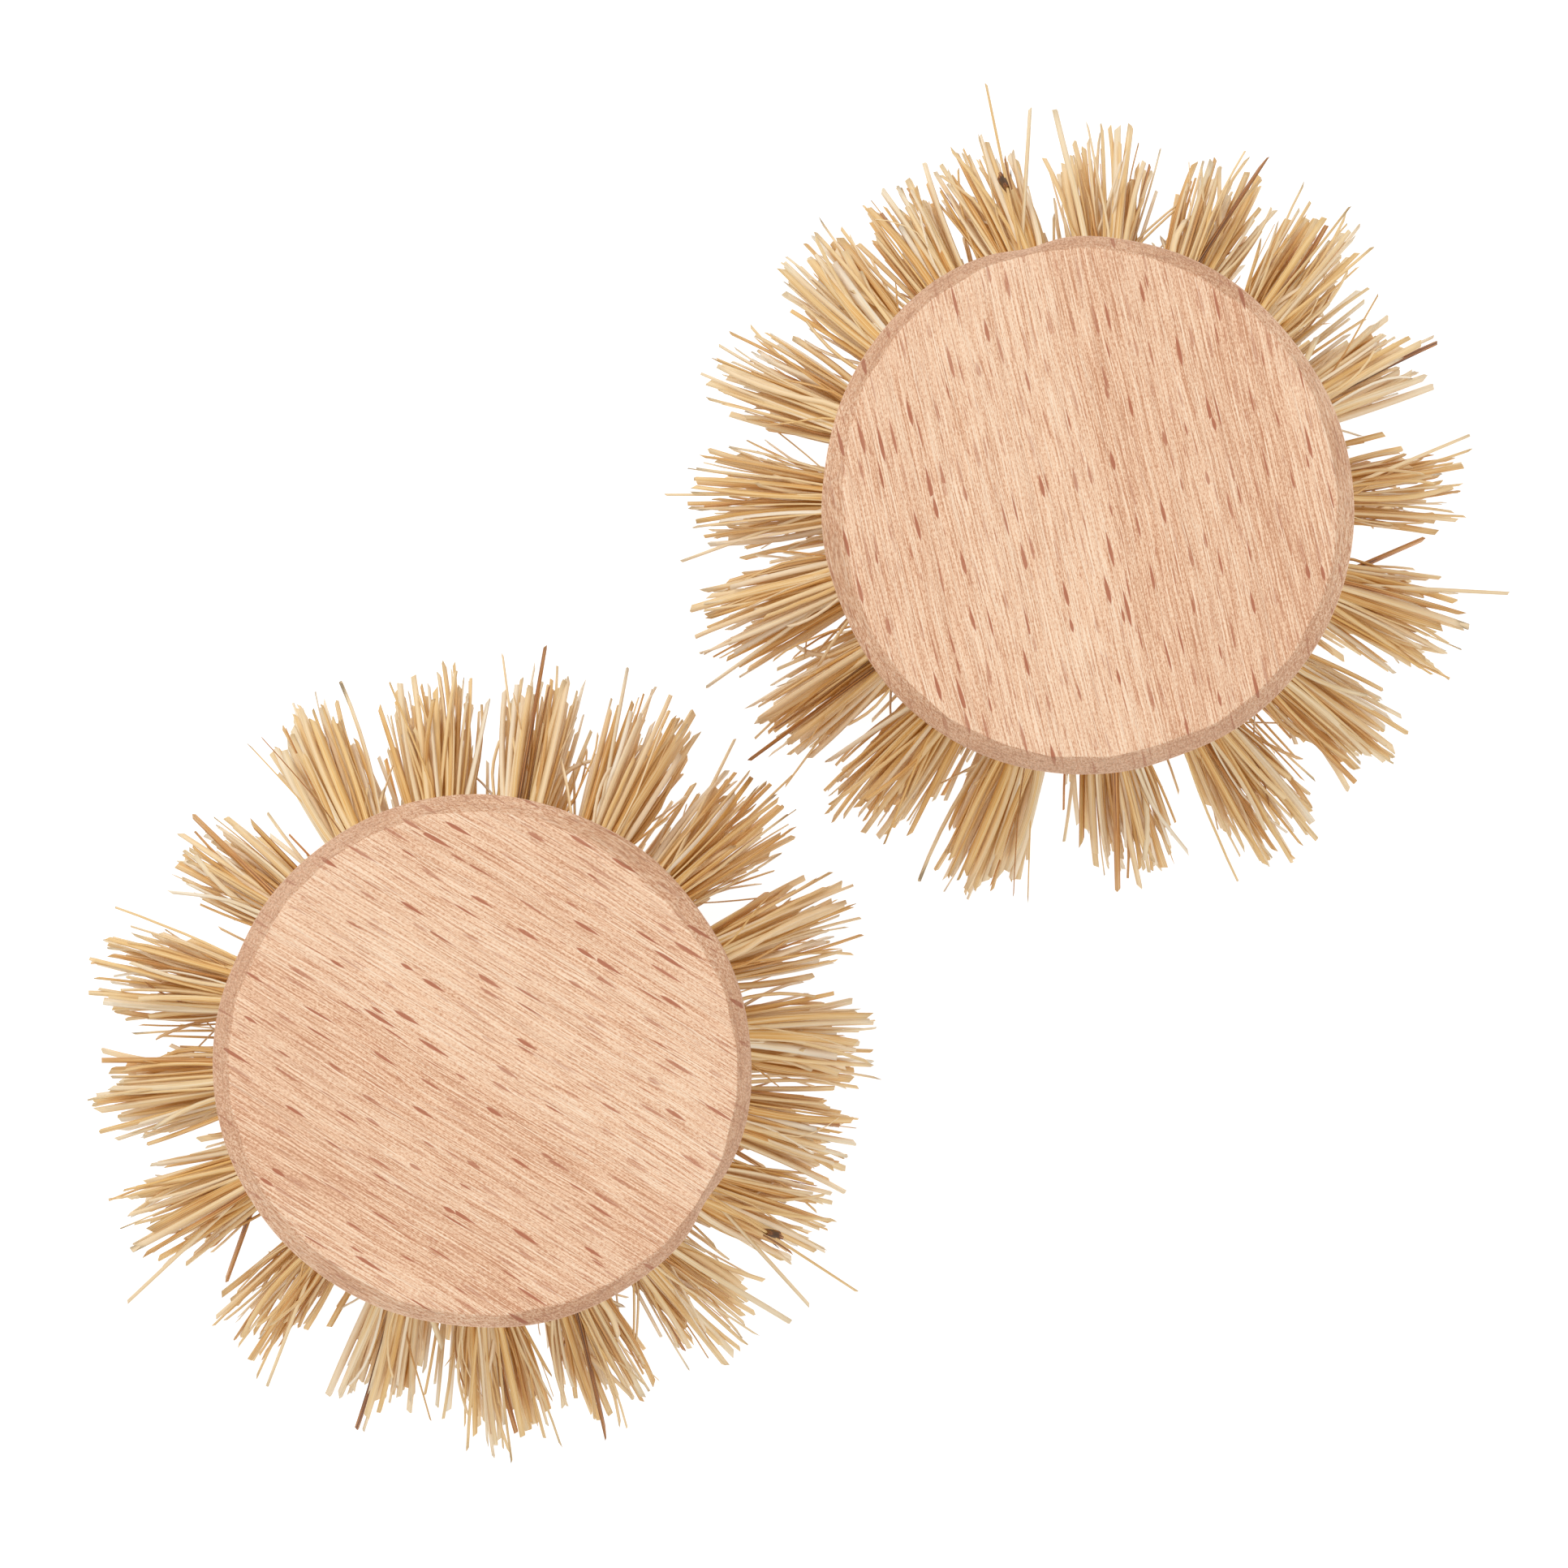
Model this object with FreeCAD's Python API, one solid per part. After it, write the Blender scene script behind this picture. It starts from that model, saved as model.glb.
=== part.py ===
import FreeCAD, Part
import os
from math import atan2, cos, degrees, radians, sin, tan

# A pair of round scrubbing-brush heads lying side by side, bristles down.
# Each head is a turned beech block with 37 tufts of stiff plant fibre. Every tuft is
# folded in two round a wire staple and driven into a blind hole, so the staple's legs
# bite into the wood past the floor of the hole.
# Millimetres, +Z up. The origin is under the middle of the pair, on the surface on
# which the tips of the bristles stand.

V = FreeCAD.Vector

# ---- the turned block
BLOCK_DIA = 40.0            # straight side
BLOCK_THICK = 15.0          # flat bottom to flat top
BEVEL_WIDTH = 1.4           # bevel round the top edge, measured across the top
BEVEL_HEIGHT = 1.2          # the same bevel, measured down the side
CONE_HEIGHT = 5.0           # conical underside, from the flat bottom up to the side
BOTTOM_MARGIN = 1.2         # flat wood between the middle ring's mouths and the cone

# ---- tuft holes and tufts
HOLE_DIA = 3.5              # a driven tuft fills its hole, so this is the tuft's root too
HOLE_DEPTH = 7.0            # along the hole's axis, where the web leaves room for it
WEB = 0.5                   # least wood left between the floors of two holes
ROOT_PROUD = 0.2            # straight root left outside the wood before the tuft spreads
TIP_GAP = 1.2               # room between the spread ends of two tufts of a ring

CENTRE_FREE = 19.0          # free length of the centre tuft, which sets the standing height
INNER_FREE = 18.6
MIDDLE_FREE = 18.2
OUTER_FREE = 16.6

# ---- rings of holes
OUTER_COUNT = 18
OUTER_PHASE = 0.5           # degrees from +X, before the head is turned into place
OUTER_SWAY = 4.7            # the hand-set spacing is closer on one side of the ring
OUTER_SWAY_FROM = 55.0      # the side from which that sway runs, in degrees
MIDDLE_COUNT = 12
MIDDLE_TILT = 20.0          # lean from straight down, in degrees
MIDDLE_PHASE = 5.0
INNER_COUNT = 6
INNER_TILT = 7.0
INNER_PHASE = 20.0

# ---- wire staples
WIRE_DIA = 0.6
STAPLE_SPAN = 2.0           # between the centre lines of the two legs
STAPLE_SEAT = 0.5           # straight leg inside the tuft, from the floor to the crown
STAPLE_BITE = 3.0           # leg driven into the wood past the floor

# ---- side sockets for a wire holder
HOLDER_WIRE_DIA = 2.8
SOCKET_CLEARANCE = 0.1      # radial, so the wire's ends spring in and out by hand
SOCKET_DEPTH = 6.0
SOCKET_TURN = 135.0         # direction of their axis, before the head is turned

# ---- how the two heads lie
PAIR_GAP = 1.443            # room between the two rings of spread tips
PAIR_DIRECTION = 42.6       # from the second head to the first, in degrees from +X
SECOND_HEAD_TURN = -134.9   # the second head against the first

# ---- heights of the block, worked out from those
BLOCK_RADIUS = BLOCK_DIA / 2
HOLE_RADIUS = HOLE_DIA / 2
BOTTOM_Z = CENTRE_FREE
CONE_TOP_Z = BOTTOM_Z + CONE_HEIGHT
TOP_Z = BOTTOM_Z + BLOCK_THICK

# ---- rings in the flat bottom: each ring's floors stand one hole and one web further out
INNER_RADIUS = HOLE_DIA + WEB + HOLE_DEPTH * sin(radians(INNER_TILT))
MIDDLE_RADIUS = 2 * (HOLE_DIA + WEB) + HOLE_DEPTH * sin(radians(MIDDLE_TILT))
BOTTOM_RADIUS = MIDDLE_RADIUS + HOLE_RADIUS / cos(radians(MIDDLE_TILT)) + BOTTOM_MARGIN

# ---- outer ring: drilled square to the middle of the cone, as deep as the web allows
CONE_WIDTH = BLOCK_RADIUS - BOTTOM_RADIUS
OUTER_TILT = degrees(atan2(CONE_HEIGHT, CONE_WIDTH))
OUTER_RADIUS = BOTTOM_RADIUS + CONE_WIDTH / 2
OUTER_MOUTH_Z = BOTTOM_Z + CONE_HEIGHT / 2
OUTER_HALF_PITCH = 180 / OUTER_COUNT * (1 - radians(OUTER_SWAY))
OUTER_FLOOR_RADIUS = (HOLE_DIA + WEB) / 2 / sin(radians(OUTER_HALF_PITCH))
OUTER_DEPTH = min(HOLE_DEPTH, (OUTER_RADIUS - OUTER_FLOOR_RADIUS) / sin(radians(OUTER_TILT)))
OUTER_TIP_RADIUS = OUTER_RADIUS + OUTER_FREE * sin(radians(OUTER_TILT))

# ---- sockets: midway between the top of the outer holes and the top face
OUTER_FLOOR_Z = OUTER_MOUTH_Z + OUTER_DEPTH * cos(radians(OUTER_TILT))
OUTER_HOLE_TOP_Z = OUTER_FLOOR_Z + HOLE_RADIUS * sin(radians(OUTER_TILT))
SOCKET_RADIUS = HOLDER_WIRE_DIA / 2 + SOCKET_CLEARANCE
SOCKET_Z = (OUTER_HOLE_TOP_Z + TOP_Z) / 2


def tip_dia(tip_radius, half_pitch):
    """Width of a tuft's end that leaves TIP_GAP to the next tuft of its ring."""
    return 2 * tip_radius * sin(radians(half_pitch)) - TIP_GAP


def turned_block():
    """The block before drilling, from its half outline."""
    outline = [
        V(0, 0, BOTTOM_Z),
        V(BOTTOM_RADIUS, 0, BOTTOM_Z),
        V(BLOCK_RADIUS, 0, CONE_TOP_Z),
        V(BLOCK_RADIUS, 0, TOP_Z - BEVEL_HEIGHT),
        V(BLOCK_RADIUS - BEVEL_WIDTH, 0, TOP_Z),
        V(0, 0, TOP_Z),
        V(0, 0, BOTTOM_Z),
    ]
    return Part.Face(Part.makePolygon(outline)).revolve(V(0, 0, 0), V(0, 0, 1), 360)


def plain_tuft(depth, free_length, end_dia, tilt):
    """A tuft along +Z from the floor of its hole: a straight root, then the spread fibres."""
    mouth_slant = HOLE_RADIUS * tan(radians(tilt))
    spread_start = depth + mouth_slant + ROOT_PROUD
    tip = depth + free_length
    outline = [
        V(0, 0, 0),
        V(HOLE_RADIUS, 0, 0),
        V(HOLE_RADIUS, 0, spread_start),
        V(end_dia / 2, 0, tip),
        V(0, 0, tip),
        V(0, 0, 0),
    ]
    return Part.Face(Part.makePolygon(outline)).revolve(V(0, 0, 0), V(0, 0, 1), 360)


def wire_staple():
    """A U of round wire, legs down past the floor of the hole, crown up inside the tuft."""
    crown_radius = STAPLE_SPAN / 2
    wire_end = Part.makeCircle(WIRE_DIA / 2, V(0, crown_radius, 0), V(0, 0, 1))
    crown = Part.Face(Part.Wire(wire_end)).revolve(V(0, 0, 0), V(1, 0, 0), 180)
    crown.translate(V(0, 0, STAPLE_SEAT))
    legs = []
    for side in (-1, 1):
        foot = V(0, side * crown_radius, -STAPLE_BITE)
        legs.append(Part.makeCylinder(WIRE_DIA / 2, STAPLE_BITE + STAPLE_SEAT, foot, V(0, 0, 1)))
    return crown.fuse(legs).removeSplitter()


def hole_placement(angle, mouth_radius, mouth_z, tilt, depth):
    """Puts a tuft's own frame in its hole: origin on the floor, +Z out of the mouth."""
    lean = FreeCAD.Rotation(V(0, 1, 0), 180 - tilt)
    turn = FreeCAD.Rotation(V(0, 0, 1), angle)
    out = (turn * lean).multVec(V(0, 0, 1))
    mouth = V(mouth_radius * cos(radians(angle)), mouth_radius * sin(radians(angle)), mouth_z)
    return FreeCAD.Placement(mouth - out * depth, turn * lean)


def ring_angles(count, phase):
    return [phase + 360 / count * k for k in range(count)]


def outer_angles():
    even = ring_angles(OUTER_COUNT, OUTER_PHASE)
    return [a + OUTER_SWAY * cos(radians(a - OUTER_SWAY_FROM)) for a in even]


def tuft_rings():
    """Each ring's name, its plain tuft and the places of its holes."""
    middle_tip = MIDDLE_RADIUS + MIDDLE_FREE * sin(radians(MIDDLE_TILT))
    inner_tip = INNER_RADIUS + INNER_FREE * sin(radians(INNER_TILT))
    inner_end = tip_dia(inner_tip, 180 / INNER_COUNT)
    centre_end = 2 * (inner_tip - inner_end / 2 - TIP_GAP)
    sizes = [
        ("outer", OUTER_DEPTH, OUTER_FREE, tip_dia(OUTER_TIP_RADIUS, OUTER_HALF_PITCH), OUTER_TILT),
        ("middle", HOLE_DEPTH, MIDDLE_FREE, tip_dia(middle_tip, 180 / MIDDLE_COUNT), MIDDLE_TILT),
        ("inner", HOLE_DEPTH, INNER_FREE, inner_end, INNER_TILT),
        ("centre", HOLE_DEPTH, CENTRE_FREE, centre_end, 0.0),
    ]
    mouths = {
        "outer": (OUTER_RADIUS, OUTER_MOUTH_Z, outer_angles()),
        "middle": (MIDDLE_RADIUS, BOTTOM_Z, ring_angles(MIDDLE_COUNT, MIDDLE_PHASE)),
        "inner": (INNER_RADIUS, BOTTOM_Z, ring_angles(INNER_COUNT, INNER_PHASE)),
        "centre": (0.0, BOTTOM_Z, [0.0]),
    }
    for name, depth, free_length, end_dia, tilt in sizes:
        radius, mouth_z, angles = mouths[name]
        places = [hole_placement(angle, radius, mouth_z, tilt, depth) for angle in angles]
        yield name, plain_tuft(depth, free_length, end_dia, tilt), places


def placed(shape, placement):
    copy = shape.copy()
    copy.Placement = placement.multiply(copy.Placement)
    return copy


def side_sockets():
    """The two blind holes across the block, opposite each other."""
    sockets = []
    for angle in (SOCKET_TURN, SOCKET_TURN + 180):
        out = V(cos(radians(angle)), sin(radians(angle)), 0)
        floor = out * (BLOCK_RADIUS - SOCKET_DEPTH) + V(0, 0, SOCKET_Z)
        past_the_side = SOCKET_DEPTH + BEVEL_WIDTH
        sockets.append(Part.makeCylinder(SOCKET_RADIUS, past_the_side, floor, out))
    return sockets


def brush_head():
    """All pieces of one head about its own axis: {name: list of solids}."""
    staple = wire_staple()
    tufts = {}
    staples = []
    drilled = []
    for name, whole, places in tuft_rings():
        stapled = whole.cut(staple)
        tufts[name] = [placed(stapled, place) for place in places]
        staples += [placed(staple, place) for place in places]
        drilled += [placed(whole, place) for place in places]
    block = turned_block().cut(drilled + staples + side_sockets())
    pieces = {
        "block": block.Solids,
        "staples": staples,
        "centre_tuft": tufts["centre"],
        "middle_tufts": tufts["middle"],
    }
    for number, tuft in enumerate(tufts["outer"], 1):
        pieces[f"outer_tuft_{number:02d}"] = [tuft]
    for number, tuft in enumerate(tufts["inner"], 1):
        pieces[f"inner_tuft_{number}"] = [tuft]
    return pieces


def pair_of_heads():
    """Both heads where they lie, before the pair is centred on the origin."""
    reach = OUTER_TIP_RADIUS
    reach += tip_dia(OUTER_TIP_RADIUS, OUTER_HALF_PITCH) / 2 * cos(radians(OUTER_TILT))
    half_spacing = reach + PAIR_GAP / 2
    direction = V(cos(radians(PAIR_DIRECTION)), sin(radians(PAIR_DIRECTION)), 0)
    up = V(0, 0, 1)
    places = {
        "brush_1": FreeCAD.Placement(direction * half_spacing, FreeCAD.Rotation(up, 0)),
        "brush_2": FreeCAD.Placement(direction * -half_spacing, FreeCAD.Rotation(up, SECOND_HEAD_TURN)),
    }
    pieces = brush_head()
    nodes = {}
    for head, place in places.items():
        for name, solids in pieces.items():
            nodes[f"{head}_{name}"] = [placed(solid, place) for solid in solids]
    print(f"heads {2 * half_spacing:.3f} apart, sockets at z {SOCKET_Z:.3f}")
    print(f"outer ring: mouth radius {OUTER_RADIUS:.3f}, tilt {OUTER_TILT:.2f}, depth {OUTER_DEPTH:.3f}")
    return nodes


def centred(nodes):
    """Moves the pair so that the middle of its box is over the origin."""
    everything = Part.makeCompound([solid for solids in nodes.values() for solid in solids])
    box = everything.optimalBoundingBox(False, False)
    shift = V(-box.Center.x, -box.Center.y, -box.ZMin)
    for solids in nodes.values():
        for solid in solids:
            solid.translate(shift)
    print(f"box {box.XLength:.2f} x {box.YLength:.2f} x {box.ZLength:.2f}")
    print(f"moved by {shift.x:.4f}, {shift.y:.4f}, {shift.z:.4f}")
    return nodes


os.makedirs("parts", exist_ok=True)
for node, solids in centred(pair_of_heads()).items():
    shape = solids[0] if len(solids) == 1 else Part.makeCompound(solids)
    shape.exportStep(f"parts/{node}.step")
    state = "valid" if shape.isValid() else "NOT VALID"
    print(node, len(solids), "solids", f"{shape.Volume:.1f} mm3", state)
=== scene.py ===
# %% [markdown]
# # A pair of round fibre brush heads
#
# Each head is a turned beech block with 37 tufts of stiff plant fibre. The CAD model is the
# frame: it holds the size and place of every block, tuft and staple. This lesson gives each
# of them its looks, head by head, in metres and in the same frame.

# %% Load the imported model
from collections import namedtuple
from math import atan2, cos, degrees, pi, radians, sin

import bmesh
import bpy
import numpy as np
from mathutils import Matrix, Vector


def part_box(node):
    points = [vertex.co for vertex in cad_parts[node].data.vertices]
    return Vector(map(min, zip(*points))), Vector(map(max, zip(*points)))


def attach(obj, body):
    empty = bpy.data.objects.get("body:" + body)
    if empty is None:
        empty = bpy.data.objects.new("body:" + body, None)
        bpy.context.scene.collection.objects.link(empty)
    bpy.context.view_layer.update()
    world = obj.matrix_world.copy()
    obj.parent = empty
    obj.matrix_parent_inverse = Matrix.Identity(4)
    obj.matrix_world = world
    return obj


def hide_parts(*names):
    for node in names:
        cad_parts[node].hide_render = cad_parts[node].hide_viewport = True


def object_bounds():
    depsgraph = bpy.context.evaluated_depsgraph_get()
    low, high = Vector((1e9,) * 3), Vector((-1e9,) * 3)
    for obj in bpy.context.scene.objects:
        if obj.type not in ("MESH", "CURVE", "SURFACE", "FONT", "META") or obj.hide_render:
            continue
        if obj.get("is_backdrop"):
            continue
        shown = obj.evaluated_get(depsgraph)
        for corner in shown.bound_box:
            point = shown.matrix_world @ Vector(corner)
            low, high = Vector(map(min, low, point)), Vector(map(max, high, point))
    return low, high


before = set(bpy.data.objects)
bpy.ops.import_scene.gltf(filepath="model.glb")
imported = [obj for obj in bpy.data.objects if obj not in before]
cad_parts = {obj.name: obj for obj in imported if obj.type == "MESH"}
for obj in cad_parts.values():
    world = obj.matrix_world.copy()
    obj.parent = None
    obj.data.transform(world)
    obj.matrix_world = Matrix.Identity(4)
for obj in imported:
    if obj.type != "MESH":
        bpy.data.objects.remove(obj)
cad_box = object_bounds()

# %% [markdown]
# ## Where the heads stand
#
# Both heads are the same article, and the second is turned against the first. So each piece
# is worked out once, about the head's own axis, and then put in place twice. The middle and
# the heights of a head come from its block's box, and never from a guess.

# %% Places of the heads
MM = 0.001
HEAD_TURN = {"brush_1": 0.0, "brush_2": -134.9}      # degrees about +Z, as in the CAD model
block_low, block_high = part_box("brush_1_block")
BLOCK_RADIUS = (block_high.x - block_low.x) / 2
BOTTOM_Z = block_low.z
TOP_Z = block_high.z


def head_matrix(head):
    """Moves a piece made about the head's axis to where that head stands."""
    low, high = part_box(head + "_block")
    middle = Vector(((low.x + high.x) / 2, (low.y + high.y) / 2, 0))
    return Matrix.Translation(middle) @ Matrix.Rotation(radians(HEAD_TURN[head]), 4, "Z")


print(f"block radius {BLOCK_RADIUS / MM:.2f} mm, from z {BOTTOM_Z / MM:.2f} to {TOP_Z / MM:.2f} mm")

# %% [markdown]
# ## Camera first
#
# The heads are looked at from straight above through a long lens, so that the round tops
# stay round and the sides hide behind them. A long lens far away is better here than an
# orthographic one, because the low tips of the bristles should look a touch smaller.

# %% Camera
VIEW_WIDTH = 116.03 * MM         # across the view, at the height of the flat tops
CAMERA_HEIGHT = 1.1              # metres above the flat tops
SENSOR = 36.0                    # mm across
NEAREST, FARTHEST = 0.01, 20.0   # metres from the lens that are drawn

middle_of_pair = sum((head_matrix(h).translation for h in HEAD_TURN), Vector()) / len(HEAD_TURN)
camera_data = bpy.data.cameras.new("camera_above")
camera_data.sensor_width = SENSOR
camera_data.lens = SENSOR * CAMERA_HEIGHT / VIEW_WIDTH
camera_data.clip_start = NEAREST
camera_data.clip_end = FARTHEST
camera = bpy.data.objects.new("camera_above", camera_data)
camera.location = (middle_of_pair.x, middle_of_pair.y, TOP_Z + CAMERA_HEIGHT)
bpy.context.scene.collection.objects.link(camera)
bpy.context.scene.camera = camera
print(f"lens {camera_data.lens:.1f} mm")

# %% [markdown]
# ## Light table
#
# Small goods like these are often laid on a white table. The table is a plain pale floor that
# glows a little, so that it stays pale between the bristles. A bare white floor would do with
# more lamps, but then the shadows under the bristles would turn it grey.

# %% Table
TABLE_HALF = 3.0                 # metres from its middle to each side
TABLE_GREY = 0.4
TABLE_GLOW = 0.9


def table_material():
    material = bpy.data.materials.new("pale_table")
    material.use_nodes = True
    shader = material.node_tree.nodes["Principled BSDF"]
    shader.inputs["Base Color"].default_value = (TABLE_GREY, TABLE_GREY, TABLE_GREY, 1)
    shader.inputs["Roughness"].default_value = 0.9
    shader.inputs["Specular IOR Level"].default_value = 0.0
    shader.inputs["Emission Color"].default_value = (1, 1, 1, 1)
    shader.inputs["Emission Strength"].default_value = TABLE_GLOW
    return material


corners = [(x * TABLE_HALF, y * TABLE_HALF, 0) for x, y in ((-1, -1), (1, -1), (1, 1), (-1, 1))]
table_mesh = bpy.data.meshes.new("pale_table")
table_mesh.from_pydata(corners, [], [(0, 1, 2, 3)])
table_mesh.update()
table_mesh.materials.append(table_material())
floor = bpy.data.objects.new("pale_table", table_mesh)
bpy.context.scene.collection.objects.link(floor)
floor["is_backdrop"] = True
print("table:", 2 * TABLE_HALF, "m square")

# %% [markdown]
# ## Soft light
#
# A big lamp leans in from one corner, and a weaker one from the corner across. White sky
# alone would be softer still, but with light from everywhere alike the fibres would have no
# lit and no shaded side, and would melt into one another.

# %% Sky and lamps
SKY_GLOW = 0.74
LAMP_AIM = (0, 0, 0.02)
LAMPS = {
    # name: (place in metres, width in metres, power in watts)
    "key_lamp": ((-0.35, 0.45, 0.75), 0.35, 2.5),
    "fill_lamp": ((0.6, -0.5, 0.6), 0.5, 0.7),
}


def soft_lamp(name, place, size, power):
    data = bpy.data.lights.new(name, "AREA")
    data.shape = "DISK"
    data.size = size
    data.energy = power
    lamp = bpy.data.objects.new(name, data)
    lamp.location = place
    lamp.rotation_euler = (Vector(LAMP_AIM) - Vector(place)).to_track_quat("-Z", "Y").to_euler()
    bpy.context.scene.collection.objects.link(lamp)


world = bpy.data.worlds.new("white_studio")
world.use_nodes = True
world.node_tree.nodes["Background"].inputs["Color"].default_value = (1, 1, 1, 1)
world.node_tree.nodes["Background"].inputs["Strength"].default_value = SKY_GLOW
bpy.context.scene.world = world
bpy.context.scene.view_settings.view_transform = "Standard"
for name, lamp_values in LAMPS.items():
    soft_lamp(name, *lamp_values)

# %% [markdown]
# ## Small helpers for materials
#
# Node materials are long when every node is set by hand. This helper adds a node, sets its
# options, joins or sets its inputs and hands back its first output, so that a material
# reads like a sum.

# %% Node helper
class Recipe:
    """A material's nodes, added one call at a time."""

    def __init__(self, name):
        self.material = bpy.data.materials.new(name)
        self.material.use_nodes = True
        self.tree = self.material.node_tree
        self.shader = self.tree.nodes["Principled BSDF"]

    def feed(self, socket, value):
        """Joins a socket to an input, or sets the input to a value."""
        if isinstance(value, bpy.types.NodeSocket):
            self.tree.links.new(value, socket)
        else:
            socket.default_value = value

    def add(self, kind, output, settings=(), **inputs):
        """Adds a node, feeds its inputs by name, underscores for spaces, and returns one output."""
        node = self.tree.nodes.new("ShaderNode" + kind)
        for key, value in dict(settings).items():
            setattr(node, key, value)
        for name, value in inputs.items():
            self.feed(node.inputs[name.replace("_", " ")], value)
        return node.outputs[output]

    def finish(self, colour, **settings):
        """Feeds the colour, and sets the shader's other values by name, underscores for spaces."""
        self.feed(self.shader.inputs["Base Color"], colour)
        for name, value in settings.items():
            self.shader.inputs[name.replace("_", " ")].default_value = value
        return self.material

    def math(self, operation, a, b=0.0):
        node = self.tree.nodes.new("ShaderNodeMath")
        node.operation = operation
        self.feed(node.inputs[0], a)
        self.feed(node.inputs[1], b)
        return node.outputs[0]

    def total(self, *parts):
        """The sum of several values."""
        result = parts[0]
        for part in parts[1:]:
            result = self.math("ADD", result, part)
        return result

    def swing(self, noise, amount):
        """How far a noise is from its middle, times an amount."""
        return self.math("MULTIPLY", self.math("SUBTRACT", noise, 0.5), amount)

    def mix(self, amount, a, b, blend="MIX"):
        """Mixes two colours."""
        node = self.tree.nodes.new("ShaderNodeMix")
        node.data_type = "RGBA"
        node.blend_type = blend
        values = {"Factor_Float": amount, "A_Color": a, "B_Color": b}
        for socket in node.inputs:
            if socket.identifier in values:
                self.feed(socket, values[socket.identifier])
        return next(s for s in node.outputs if s.identifier == "Result_Color")

    def ramp(self, value, stops):
        """A smooth change of colour; stops are (position, linear colour), in order."""
        node = self.tree.nodes.new("ShaderNodeValToRGB")
        elements = node.color_ramp.elements
        while len(elements) < len(stops):
            elements.new(0.5)
        for element, (position, colour) in zip(elements, stops):
            element.position = position
            element.color = colour
        self.feed(node.inputs[0], value)
        return node.outputs[0]

    def span(self, value, low, high, to_low=0.0, to_high=1.0):
        """Maps low..high to to_low..to_high, smoothly, and holds it there."""
        return self.add("MapRange", 0, {"interpolation_type": "SMOOTHSTEP"}, Value=value, From_Min=low,
                        From_Max=high, To_Min=to_low, To_Max=to_high)

    def share(self, value, low, high):
        """Maps low..high to 0..1 along a straight line."""
        return self.add("MapRange", 0, Value=value, From_Min=low, From_Max=high)

    def join(self, x, y, z=0.0):
        """A vector from its three parts."""
        return self.add("CombineXYZ", 0, X=x, Y=y, Z=z)

    def split(self, vector):
        """The three parts of a vector or a colour."""
        node = self.tree.nodes.new("ShaderNodeSeparateXYZ")
        self.feed(node.inputs[0], vector)
        return node.outputs

    def noise(self, vector, often=None, detail=2.0, roughness=0.5):
        """Noise; often says how many times it changes in one unit of each axis."""
        if often:
            vector = self.add("Mapping", 0, Vector=vector, Scale=often)
        return self.add("TexNoise", 0, Vector=vector, Scale=1.0, Detail=detail, Roughness=roughness)

    def bump(self, height, distance, strength):
        normal = self.add("Bump", 0, Height=height, Distance=distance, Strength=strength)
        self.feed(self.shader.inputs["Normal"], normal)


def srgb(red, green, blue):
    """A colour as screens name it, 0 to 255, as the linear colour of a shader."""
    def linear(channel):
        c = channel / 255
        return c / 12.92 if c <= 0.04045 else ((c + 0.055) / 1.055) ** 2.4
    return (linear(red), linear(green), linear(blue), 1.0)


print("material helper ready")

# %% [markdown]
# ## Beech
#
# Beech is pale salmon, with broad growth bands and fine lines along the grain. A flat drawing
# of the grain would need a seam at the edge. A solid texture runs on over the bevel and down
# the side by itself, as the grain of a real block does. It lives in the head's own space, so
# both heads are cut from the same board.

# %% Grain
GRAIN_TURN = -76.6           # direction of the grain on the first head, in degrees from +X
GRAIN_DRIFT = 1.0            # mm that the lines wander across the grain
DRIFT_OFTEN = (0.05, 0.12, 0.05)         # changes in a mm along the grain, across it and up
VESSEL_SHIFT = 60.0          # mm along the grain that a vessel's start may be moved
VESSELS_PER_MM = 5.0
BAND_SPAN = 20.0             # mm across the grain, either way, that the growth bands are given for
GROWTH_BANDS = [             # mm across the grain, and how pale the wood is there
    (-20, 0.47), (-12, 0.46), (-7, 0.56), (1.1, 0.57), (1.8, 0.34), (6, 0.40), (9, 0.46),
    (14, 0.30), (17, 0.50)]
LAYERS = {
    # layer: changes in a mm in the same three directions, detail, roughness
    "cloud": ((0.06, 0.35, 0.35), 3.0, 0.6),
    "streaks": ((0.12, 1.6, 1.6), 3.0, 0.9),
    "hairs": ((0.24, 6.5, 6.5), 1.0, 0.9),
    "grit": ((4.0, 8.0, 8.0), 1.0, 0.8),
}
LAYER_AMOUNT = {"cloud": 0.12, "streaks": 0.4, "hairs": 3.3, "grit": 1.8}


def to_grain(r, source, scale=1.0):
    """The head's own places or directions, turned so that X lies along the grain."""
    return r.add("Mapping", 0, Vector=r.add("TexCoord", source), Rotation=(0, 0, radians(-GRAIN_TURN)),
                 Scale=(scale,) * 3)


def grain_space(r):
    """Places in mm along the grain, across it and up, with the lines wandering a little."""
    straight = to_grain(r, "Object", 1 / MM)
    along, across, up = r.split(straight)
    drift = r.swing(r.noise(straight, DRIFT_OFTEN), GRAIN_DRIFT)
    return r.join(along, r.total(across, drift), up)


def growth_bands(r, line):
    """Broad bands: pale where the year began, darker towards the ring's sharp end."""
    place = r.share(r.split(line)[1], -BAND_SPAN, BAND_SPAN)
    return r.ramp(place, [((mm + BAND_SPAN) / (2 * BAND_SPAN), (g, g, g, 1)) for mm, g in GROWTH_BANDS])


def grain_layers(r, line):
    """Clouds, streaks, hair lines and grit. Each vessel starts elsewhere than the one beside it."""
    along, across, up = r.split(line)
    beside = r.join(0.0, r.math("MULTIPLY", across, VESSELS_PER_MM), r.math("MULTIPLY", up, VESSELS_PER_MM))
    start = r.math("MULTIPLY", r.noise(beside), VESSEL_SHIFT)
    vessel = r.join(r.total(along, start), across, up)
    places = {"hairs": vessel}
    return {name: r.noise(places.get(name, line), *values) for name, values in LAYERS.items()}


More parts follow.
